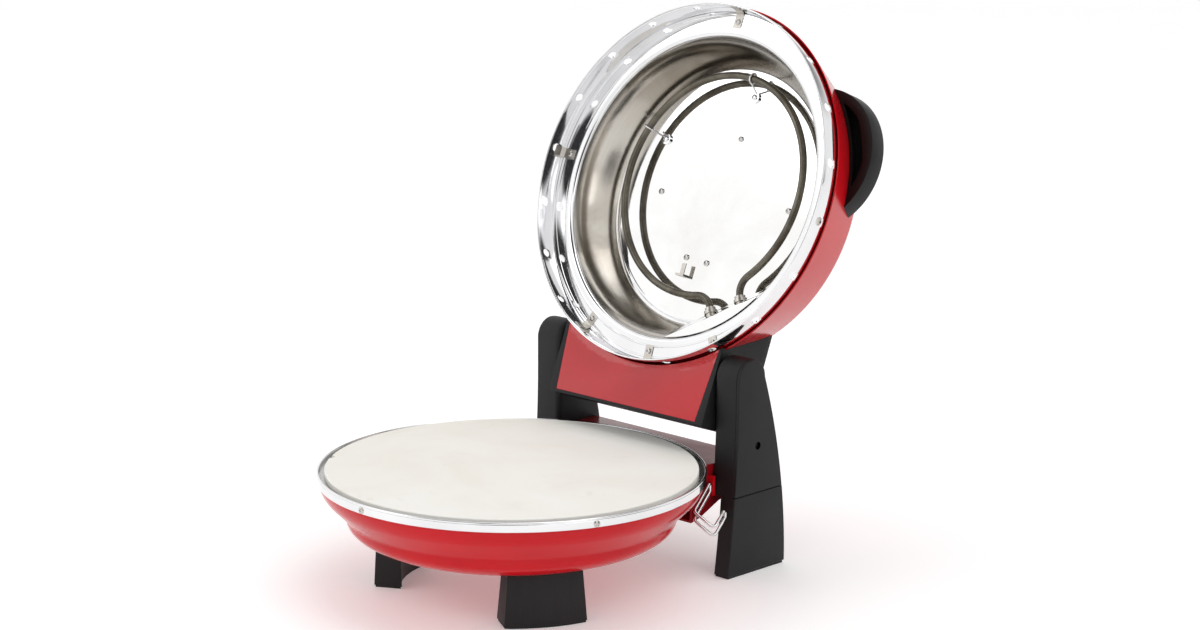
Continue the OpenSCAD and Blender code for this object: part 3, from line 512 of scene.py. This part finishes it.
def tube(points, radius, sides=20, closed=False, caps=True):
    """A round tube along points in mm."""
    pts = [Vector(p) * MM for p in points]
    clean = [pts[0]]
    for p in pts[1:]:
        if (p - clean[-1]).length > 1e-5:
            clean.append(p)
    if closed and (clean[0] - clean[-1]).length < 1e-5:
        clean.pop()
    pts, n = clean, len(clean)
    bm = bmesh.new()
    rings, side = [], None
    for i, p in enumerate(pts):
        before = pts[i - 1] if i or closed else p
        after = pts[(i + 1) % n] if i < n - 1 or closed else p
        along = ((after - p).normalized() + (p - before).normalized()).normalized()
        if side is None:
            side = along.orthogonal().normalized()
        side = (side - along * side.dot(along)).normalized()
        other = along.cross(side)
        rings.append([
            bm.verts.new(p + (side * math.cos(a) + other * math.sin(a)) * radius * MM)
            for a in (2 * math.pi * k / sides for k in range(sides))
        ])
    pairs = list(zip(rings, rings[1:]))
    if closed:
        best = min(range(sides), key=lambda k: (rings[-1][0].co - rings[0][k].co).length)
        pairs.append((rings[-1], rings[0][best:] + rings[0][:best]))
    for a, b in pairs:
        for k in range(sides):
            bm.faces.new((a[k], a[(k + 1) % sides], b[(k + 1) % sides], b[k]))
    if caps and not closed:
        bm.faces.new(rings[0][::-1])
        bm.faces.new(rings[-1])
    me = bpy.data.meshes.new("tube")
    bm.to_mesh(me)
    bm.free()
    return me


def box_mesh(lo, hi, bevel=0.0):
    bm = bmesh.new()
    bmesh.ops.create_cube(bm, size=1)
    size = Vector(hi) - Vector(lo)
    mid = (Vector(hi) + Vector(lo)) / 2
    for v in bm.verts:
        v.co = Vector([v.co[i] * size[i] + mid[i] for i in range(3)]) * MM
    if bevel:
        bmesh.ops.bevel(bm, geom=bm.edges[:], offset=bevel * MM, segments=2, affect="EDGES", profile=0.5)
    me = bpy.data.meshes.new("block")
    bm.to_mesh(me)
    bm.free()
    return me


def cross_screw(head_r, head_h):
    """A pan head with a cross recess; the head stands on z = 0."""
    dome = arc(0, 0, head_r, head_h, 0, 90, 8)
    crown = [(r, z * 0.9 + 0.1 * head_h) for r, z in dome[:-1]]
    me = lathe([(0, 0), (head_r, 0)] + crown + [(0, head_h)], 32)
    arm, w = head_r * 0.58, head_r * 0.13
    low, high = head_h * 0.42, head_h * 2
    for x, y in ((arm, w), (w, arm)):
        me = cut(me, box_mesh((-x, -y, low), (x, y, high)))
    return me


def place(at, normal, spin=0.0):
    """Puts a piece made on z = 0 at a point in mm, with +Z along the normal."""
    q = Vector(normal).to_track_quat("Z", "Y").to_matrix().to_4x4()
    return Matrix.Translation(Vector(at) * MM) @ q @ Matrix.Rotation(spin, 4, "Z")


def polar(a, r, z=0.0):
    """A point at angle a from +X towards the front."""
    return Vector((r * math.cos(math.radians(a)), -r * math.sin(math.radians(a)), z))


def lid(me):
    """Swings a mesh made on the closed lid, with heights from its mouth edge, to the rest pose."""
    me.transform(TO_OPEN @ Matrix.Translation((0, 0, LID_Z * MM)))
    return me


# ---------------------------------------------------------------- base

RIM_R, RIM_TOP, BAND_H, BAND_T = 170.0, 108.0, 8.4, 1.2
PAN_R, SEAT_Z, SHEET_T = RIM_R - BAND_T, 103.5, 1.2
pan_path = (
    [(0, 44.0), (60, 44.0)]
    + arc(95, 66, 50, 22, -90, 0, 28)
    + arc(150, 66, 5, 5, 180, 135, 5, 1)
)
slope_end = pan_path[-1]
turn_r = ((SEAT_Z - slope_end[1]) - (PAN_R - slope_end[0])) / (2 * math.sin(math.pi / 4) - 1)
pan_path += arc(PAN_R - turn_r, SEAT_Z, turn_r, turn_r, -45, 0, 14)
piece("pan", finish_mesh(lathe(sheet(pan_path, SHEET_T)), red), "base", "red_enamel", "base_pan")

band_low = RIM_TOP - BAND_H
band_profile = (
    [(PAN_R, band_low + 0.3), (PAN_R + 0.3, band_low), (RIM_R - 0.3, band_low), (RIM_R, band_low + 0.4)]
    + [(RIM_R, RIM_TOP - 2.2), (RIM_R - 0.25, RIM_TOP - 2.0), (RIM_R - 0.05, RIM_TOP - 1.7)]
    + arc(RIM_R - 1, RIM_TOP - 1, 1.0, 1.0, -10, 190, 10)
    + [(PAN_R, RIM_TOP - 1.6)]
)
piece("rim_trim", finish_mesh(lathe(band_profile), bright, 28), "base", "chrome_trim", "rim_band")

rim_screw = cross_screw(3.0, 1.4)
rim_places = []
for i in range(5):
    a = 20 + 72 * i
    n = polar(a, 1)
    rim_places.append((rim_screw, place(polar(a, RIM_R - 0.05, RIM_TOP - BAND_H / 2 - 1), n, 0.4 + i)))
piece("rim_screw_heads", finish_mesh(join(rim_places), plated, 30), "base", "screw_steel", "rim_screws")

STONE_R, STONE_Z, STONE_T = 163.0, 95.0, 14.0
stone_profile = (
    [(0, STONE_Z), (STONE_R - 1.2, STONE_Z)]
    + arc(STONE_R - 1.0, STONE_Z + 1.0, 1.0, 1.0, -80, 0, 4)
    + arc(STONE_R - 1.0, STONE_Z + STONE_T - 1.0, 1.0, 1.0, 0, 85, 5)
    + [(r, STONE_Z + STONE_T) for r in (STONE_R - 2.0, 110, 50, 0)]
)
notch = lathe([(0, 105), (4.4, 105), (5, 105.6), (5, 112), (0, 112)], 40)
notch.transform(Matrix.Translation(polar(146, STONE_R + 1) * MM))
stone = cut(lathe(stone_profile), notch)
piece("stone", finish_mesh(stone, stone_mat, 40), "stone", "baking_stone", "baking_stone")

# the uprights: each is a leg, a post that holds the hinge pin, and a flush outer cover
LEG_FRONT, LEG_REAR, FRONT_LEAN, FRONT_LEAN_Z, REAR_LEAN = 145.0, 222.0, 10.5, 150.0, 31.05
SEAM_Z, ARCH_Z, PAD_T = 73.0, 178.0, 2.0
OUT_X, POST_T, LEG_T, COVER_T = 124.5, 28.5, 17.0, 3.0
COVER_SCREW = (182.4, 116.2)


def front_y(z):
    return LEG_FRONT + FRONT_LEAN * (1 - max(1 - z / FRONT_LEAN_Z, 0) ** 2)


def rear_y(z):
    return LEG_REAR - REAR_LEAN * (z / ARCH_Z) ** 2


def post_ring(inset):
    middle = (rear_y(ARCH_Z) + front_y(ARCH_Z)) / 2
    r = (rear_y(ARCH_Z) - front_y(ARCH_Z)) / 2
    zs = [SEAM_Z + inset + (ARCH_Z - SEAM_Z - inset) * i / 16 for i in range(16)]
    up = [(front_y(z) + inset, z) for z in zs]
    down = [(rear_y(z) - inset, z) for z in zs[::-1]]
    return up + arc(middle, ARCH_Z, r - inset, r - inset, 180, 0, 48) + down


def leg_ring(inset):
    zs = [PAD_T + inset + (SEAM_Z - PAD_T - 2 * inset) * i / 12 for i in range(13)]
    return [(front_y(z) + inset, z) for z in zs] + [(rear_y(z) - inset, z) for z in zs[::-1]]


def rounded_slab(x0, x1, r0, r1, inset=0.0, n=6):
    """Sections (x, inset) across a slab whose two faces have rounded edges."""
    turns = [math.pi / 2 * i / n for i in range(n + 1)]
    near = [(x0 + r0 * (1 - math.cos(a)), inset + r0 * (1 - math.sin(a))) for a in turns]
    far = [(x1 - r1 * (1 - math.cos(a)), inset + r1 * (1 - math.sin(a))) for a in turns[::-1]]
    return near + far


def slab(ring, sections):
    bm = bmesh.new()
    rings = [[bm.verts.new((x * MM, y * MM, z * MM)) for y, z in ring(i)] for x, i in sections]
    for a, b in zip(rings, rings[1:]):
        for k in range(len(a)):
            bm.faces.new((a[k], a[(k + 1) % len(a)], b[(k + 1) % len(a)], b[k]))
    bm.faces.new(rings[0])
    bm.faces.new(rings[-1])
    me = bpy.data.meshes.new("slab")
    bm.to_mesh(me)
    bm.free()
    return me


def pin_tool(x0, x1, y, z, r, n=64):
    me = lathe([(0, x0), (r, x0), (r, x1), (0, x1)], n)
    me.transform(Matrix.Translation((0, y * MM, z * MM)) @ Matrix.Rotation(math.pi / 2, 4, "Y"))
    return me


for side, flip in (("left", Matrix.Diagonal((-1, 1, 1, 1))), ("right", Matrix())):
    cover_x = OUT_X - COVER_T
    post = cut(
        slab(post_ring, rounded_slab(OUT_X - POST_T, cover_x, 5.0, 0.3)),
        pin_tool(OUT_X - POST_T - 1, cover_x - 4, PIVOT.y / MM, PIVOT.z / MM, 5.02),
    )
    leg = slab(leg_ring, rounded_slab(OUT_X - LEG_T, OUT_X, 1.6, 1.2))
    cover = cut(
        slab(post_ring, rounded_slab(cover_x, OUT_X, 0.0, 0.8, 0.45)),
        pin_tool(cover_x - 1, OUT_X + 1, *COVER_SCREW, 3.5, 32),
    )
    for name, me, mat, slot in (
        ("post", post, black, "black_plastic"), ("leg", leg, black, "black_plastic"),
        ("post_cover", cover, cover_black, "cover_plastic"),
    ):
        me.transform(flip)
        node = side + "_" + name
        piece(node + "_shape", finish_mesh(me, mat, 32, 1e-7), "base", slot, node)

slots = {s["node"]: s["material_slot"] for s in frame["record"]["subparts"]}
for node, mat, width in (
    ("left_front_foot", black, 1.6), ("right_front_foot", black, 1.6),
    ("rear_housing", red_housing_shaded, 1.0), ("terminal_block", ceramic, 0.8), ("housing_cover", red_housing_shaded, 0.4),
):
    me = finish_mesh(bevelled(node, width), mat, 32, 1e-7)
    piece(node + "_shape", me, "base", slots[node], node)

HOOK = [(99.2, 148.6, 76), (99.2, 127.6, 54), (117.5, 133.6, 41), (117.5, 148.6, 56)]
for side, sx in (("left", -1), ("right", 1)):
    low = [Vector((sx * x, y, z)) for x, y, z in HOOK]
    high = [p + Vector((0, 0, 8)) for p in reversed(low)]
    loop = low + high
    middle = (low[0] + high[-1]) / 2
    path = rounded([middle] + loop + [middle], 3.4, 7)
    me = finish_mesh(tube(path, 1.4, 16, closed=True), wire_plate, 60, 1e-7)
    piece(side + "_hook_wire", me, "base", "chrome_trim", side + "_wire_hook")

# ---------------------------------------------------------------- lid

SKIRT_R, SKIRT_H, SKIRT_T = 165.0, 22.0, 1.0
TURN_R, TURN_H = SKIRT_R - 2.5, SKIRT_H - 5
DOME_R, DOME_FOOT, DOME_H = 166.8, 18.8, 97.0
DOME_FLAT_R, CROWN_H, CROWN_LEAN = 100, 27, 19.5
crown_w = DOME_R - DOME_FLAT_R - CROWN_LEAN
dome_path = (
    [(DOME_R, DOME_FOOT)]
    + arc(DOME_FLAT_R, DOME_H - CROWN_H, crown_w, CROWN_H, 12, 90, 30)
    + [(50, DOME_H), (0, DOME_H)]
)
piece("dome", finish_mesh(lid(lathe(sheet(dome_path, SHEET_T))), red), "lid", "red_enamel", "lid_shell")

LIP_R, BEAD_OUT = 0.8, 0.35
inside = SKIRT_R - SKIRT_T
skirt_profile = (
    [(TURN_R - SKIRT_T, SKIRT_H), (inside, TURN_H)]
    # a small bead above the rolled lip
    + [(inside, 3.9), (inside - BEAD_OUT, 3.6), (inside - BEAD_OUT, 3.1), (inside, 2.8)]
    + [(inside, 1.6)]
    + arc(SKIRT_R - LIP_R, LIP_R, LIP_R, LIP_R, 150, 390, 12)
    + [(SKIRT_R, 1.9), (SKIRT_R, TURN_H), (TURN_R, SKIRT_H)]
)
VENT_N, VENT_R, VENT_FIRST = 20, 3.9, -4.5
vent_h = SKIRT_H / 2 - 1.4
holes = []
for i in range(VENT_N):
    a = VENT_FIRST + 360 / VENT_N * i
    hole = lathe([(0, -6), (VENT_R, -6), (VENT_R, 6), (0, 6)], 32)
    holes.append((hole, place(polar(a, SKIRT_R, vent_h), polar(a, 1))))
skirt = cut(lathe(skirt_profile, 300), join(holes))
piece("skirt", finish_mesh(lid(skirt), bright, 32), "lid", "chrome_trim", "lid_skirt")

FLANGE_OUT, FLANGE_R, FLANGE_H = 161.4, 143.35, SKIRT_H - 1
BOWL_ROUND, BOWL_FOOT, DISC_R, DISC_DEPTH = 3.8, 119.55, 114.55, 63.0
bowl_mouth = Vector((FLANGE_R - BOWL_ROUND, FLANGE_H + BOWL_ROUND))
REFLECTOR_T = 0.8
bowl_foot = Vector((BOWL_FOOT, DISC_DEPTH - REFLECTOR_T))
bowl = [(FLANGE_OUT, FLANGE_H - 0.1)]
# two low ridges round the flange
for at in (158.6, 148.4):
    bowl += [(at + out, FLANGE_H - up) for out, up in ((0.9, 0), (0.5, 0.45), (-0.5, 0.45), (-0.9, 0))]
bowl += arc(FLANGE_R, bowl_mouth.y, BOWL_ROUND, BOWL_ROUND, -90, -180, 8)
for k in range(1, 25):
    t = k / 24
    bow = math.sin(math.pi * t) * (1 - t)
    bowl.append(tuple(bowl_mouth + (bowl_foot - bowl_mouth) * t + Vector((5 * bow, 2 * bow))))
# a low ridge on the lip round the disc
lip_ridge = ((3.2, 0), (2.9, 0.35), (2.2, 0.35), (1.9, 0), (0, 0))
bowl += [(DISC_R + out, bowl_foot.y - up) for out, up in lip_ridge]
bowl_mesh = finish_mesh(lathe(sheet(bowl, -REFLECTOR_T)), spun, 30)
bowl_mesh.materials.append(bright)
for poly in bowl_mesh.polygons:
    at = poly.center / MM
    if at.z < bowl_mouth.y or math.hypot(at.x, at.y) < BOWL_FOOT - 0.1:
        poly.material_index = 1
piece("bowl", lid(bowl_mesh), "lid", "satin_steel", "bowl_reflector")
disc_edge, disc_back = DISC_R + 4, DISC_DEPTH + REFLECTOR_T
disc_profile = [(r, DISC_DEPTH) for r in (0, 40, 80, disc_edge)] + [(disc_edge, disc_back), (0, disc_back)]
piece("disc", finish_mesh(lid(lathe(disc_profile)), mirror, 30), "lid", "mirror_disc", "disc_reflector")

# the upper heater: a ring and two leads in one plane
TUBE_H = DISC_DEPTH - 13.3


def lead(start, heading, steps, gap=2.0):
    """Points in a plane from steps (0, length) or (turn, radius, angle)."""
    p, h, out = Vector(start), math.radians(heading), [Vector(start)]
    for s in steps:
        if s[0] == 0:
            d = Vector((math.cos(h), math.sin(h)))
            n = max(1, int(s[1] / gap))
            out += [p + d * s[1] * (i + 1) / n for i in range(n)]
        else:
            c = p + Vector((-math.sin(h), math.cos(h))) * s[1] * s[0]
            n = max(3, int(s[2] / 4))
            rel = p - c
            for i in range(1, n + 1):
                turn = s[0] * math.radians(s[2]) * i / n
                out.append(c + Matrix.Rotation(turn, 2) @ rel)
            h += s[0] * math.radians(s[2])
        p = out[-1]
    return out


RING_AT, RING_R, RING_LEFT, RING_RIGHT = Vector((0.6, -8.3)), 102.55, 80.0, 47.0
left_steps = [(1, 18, 70), (0, 17.5)]
right_steps = [(-1, 16, 77), (0, 15)]
ring_pts = [
    RING_AT + Vector((RING_R * math.cos(a), RING_R * math.sin(a)))
    for a in (math.radians(RING_LEFT + (360 + RING_RIGHT - RING_LEFT) * i / 96) for i in range(97))
]
left_pts = lead(ring_pts[0], RING_LEFT - 90, left_steps)
right_pts = lead(ring_pts[-1], RING_RIGHT + 90, right_steps)
path = [(p.x, p.y, TUBE_H) for p in left_pts[::-1] + ring_pts[1:-1] + right_pts]
piece("heater_tube", finish_mesh(lid(tube(path, 3.3, 24)), sheath, 50), "lid", "heater_tube", "upper_element")

for node, mat, width, body in (
    ("lid_handle", handle_black, 1.6, "lid"), ("hinge_box", black, 1.2, "lid"),
    ("hinge_panel", red_panel, 0.3, "lid"), ("terminal_shield", mirror, 0.15, "lid"),
):
    me = finish_mesh(bevelled(node, width), mat, 32, 1e-7)
    piece(node + "_shape", me, body, slots[node], node)

# ---------------------------------------------------------------- CAD nodes kept as they are

kept = {
    "lower_reflector": sheet_steel, "lower_element": sheath, "lower_element_collars": satin,
    "lower_element_stands": satin, "thermal_cutout": satin, "housing_screws": plated, "cord_gland": black,
    "foot_screws": plated, "foot_pads": rubber_mat, "post_cover_screws": dark_screw, "hinge_pins": satin,
    "hook_lugs": red, "disc_screws": plated, "disc_spacers": satin, "sensor_bracket": satin,
    "upper_element_collars": satin, "upper_element_clips": wire_plate, "rim_clips": satin,
    "rim_clip_screws": plated, "handle_screws": plated, "hinge_box_screws": plated,
}
for node, mat in kept.items():
    me = nodes[node].data
    for i in range(max(1, len(nodes[node].material_slots))):
        if len(me.materials) <= i:
            me.materials.append(mat)
        me.materials[i] = mat
    me.shade_smooth()
    me.set_sharp_from_angle(angle=math.radians(32))

# ---------------------------------------------------------------- floor, light


def floor():
    g = Graph("studio floor")
    tone = g.noise(0.6, 2.0)
    g.set(Base_Color=g.ramp(tone, [(0.3, (0.95, 0.95, 0.95)), (0.7, (0.97, 0.97, 0.97))]))
    g.set(Roughness=0.7, Emission_Color=(1, 1, 1, 1), Emission_Strength=0.22)
    bm = bmesh.new()
    bmesh.ops.create_grid(bm, x_segments=1, y_segments=1, size=20)
    me = bpy.data.meshes.new("floor")
    bm.to_mesh(me)
    bm.free()
    me.materials.append(g.mat)
    obj = bpy.data.objects.new("floor", me)
    bpy.context.scene.collection.objects.link(obj)


floor()


def area(name, at, look, size, power, colour=(1, 1, 1)):
    data = bpy.data.lights.new(name, "AREA")
    data.shape = "RECTANGLE"
    data.size, data.size_y = size
    data.energy = power
    data.color = colour
    obj = bpy.data.objects.new(name, data)
    bpy.context.scene.collection.objects.link(obj)
    at, look = Vector(at), Vector(look)
    obj.matrix_world = Matrix.Translation(at) @ (at - look).to_track_quat("Z", "Y").to_matrix().to_4x4()
    return obj


area("key", (-1.6, -1.9, 2.2), (0, 0, 0.2), (1.4, 1.4), 6)
area("top", (0.2, 0.4, 2.6), (0, 0.1, 0.2), (1.8, 1.8), 10)

LIGHT_LEVEL = 1.02
DARK = (0.035, 0.035, 0.038)
# each zone: its direction, the degrees from there where it is full and where it ends, its level
DARK_ZONES = (
    ((0.66, -0.68, 0.25), 16, 24, 0.03),
    ((0.00, -0.42, 0.91), 19, 27, 0.04),
    ((-0.75, -0.66, -0.03), 4, 13, 0.05),
    ((0.90, 0.42, 0.05), 14, 32, 0.06),
    ((-0.10, 0.80, 0.60), 12, 31, 0.30),
)
BRIGHT_ZONES = (
    ((-0.69, -0.68, 0.32), 14, 34, 1.12),
    ((0.51, -0.52, 0.68), 6, 11, 1.7),
    ((0.95, -0.06, 0.33), 7, 16, 1.9),
)


def studio_world():
    """Even pale surroundings with soft dark zones, which give the metal something to reflect."""
    world = bpy.data.worlds.new("studio")
    bpy.context.scene.world = world
    world.use_nodes = True
    tree = world.node_tree
    back = tree.nodes["Background"]
    where = tree.nodes.new("ShaderNodeTexCoord").outputs["Generated"]

    def toward(direction):
        dot = tree.nodes.new("ShaderNodeVectorMath")
        dot.operation = "DOT_PRODUCT"
        tree.links.new(where, dot.inputs[0])
        dot.inputs[1].default_value = Vector(direction).normalized()
        return dot.outputs["Value"]

    def fade(value, a, b, low, high):
        n = tree.nodes.new("ShaderNodeMapRange")
        n.interpolation_type = "SMOOTHSTEP"
        for key, v in (("From Min", a), ("From Max", b), ("To Min", low), ("To Max", high)):
            n.inputs[key].default_value = v
        tree.links.new(value, n.inputs["Value"])
        return n.outputs[0]

    def combine(op, a, b):
        n = tree.nodes.new("ShaderNodeMath")
        n.operation = op
        for value, socket in ((a, n.inputs[0]), (b, n.inputs[1])):
            if isinstance(value, float):
                socket.default_value = value
            else:
                tree.links.new(value, socket)
        return n.outputs[0]

    def zone(direction, full, end, outside, inside):
        near, far = (math.cos(math.radians(a)) for a in (full, end))
        return fade(toward(direction), far, near, outside, inside)

    level = 1.0
    for direction, full, end, low in DARK_ZONES:
        level = combine("MULTIPLY", level, zone(direction, full, end, 1.0, low))
    for direction, full, end, high in BRIGHT_ZONES:
        level = combine("MAXIMUM", level, zone(direction, full, end, 0.0, high))
    tint = tree.nodes.new("ShaderNodeVectorMath")
    tint.operation = "SCALE"
    tint.inputs[0].default_value = (1.0, 1.0, 1.0)
    tree.links.new(level, tint.inputs["Scale"])
    lift = tree.nodes.new("ShaderNodeVectorMath")
    lift.operation = "MAXIMUM"
    lift.inputs[1].default_value = DARK
    tree.links.new(tint.outputs[0], lift.inputs[0])
    tree.links.new(lift.outputs[0], back.inputs[0])
    back.inputs[1].default_value = LIGHT_LEVEL


studio_world()

bpy.context.scene.view_settings.view_transform = "Standard"
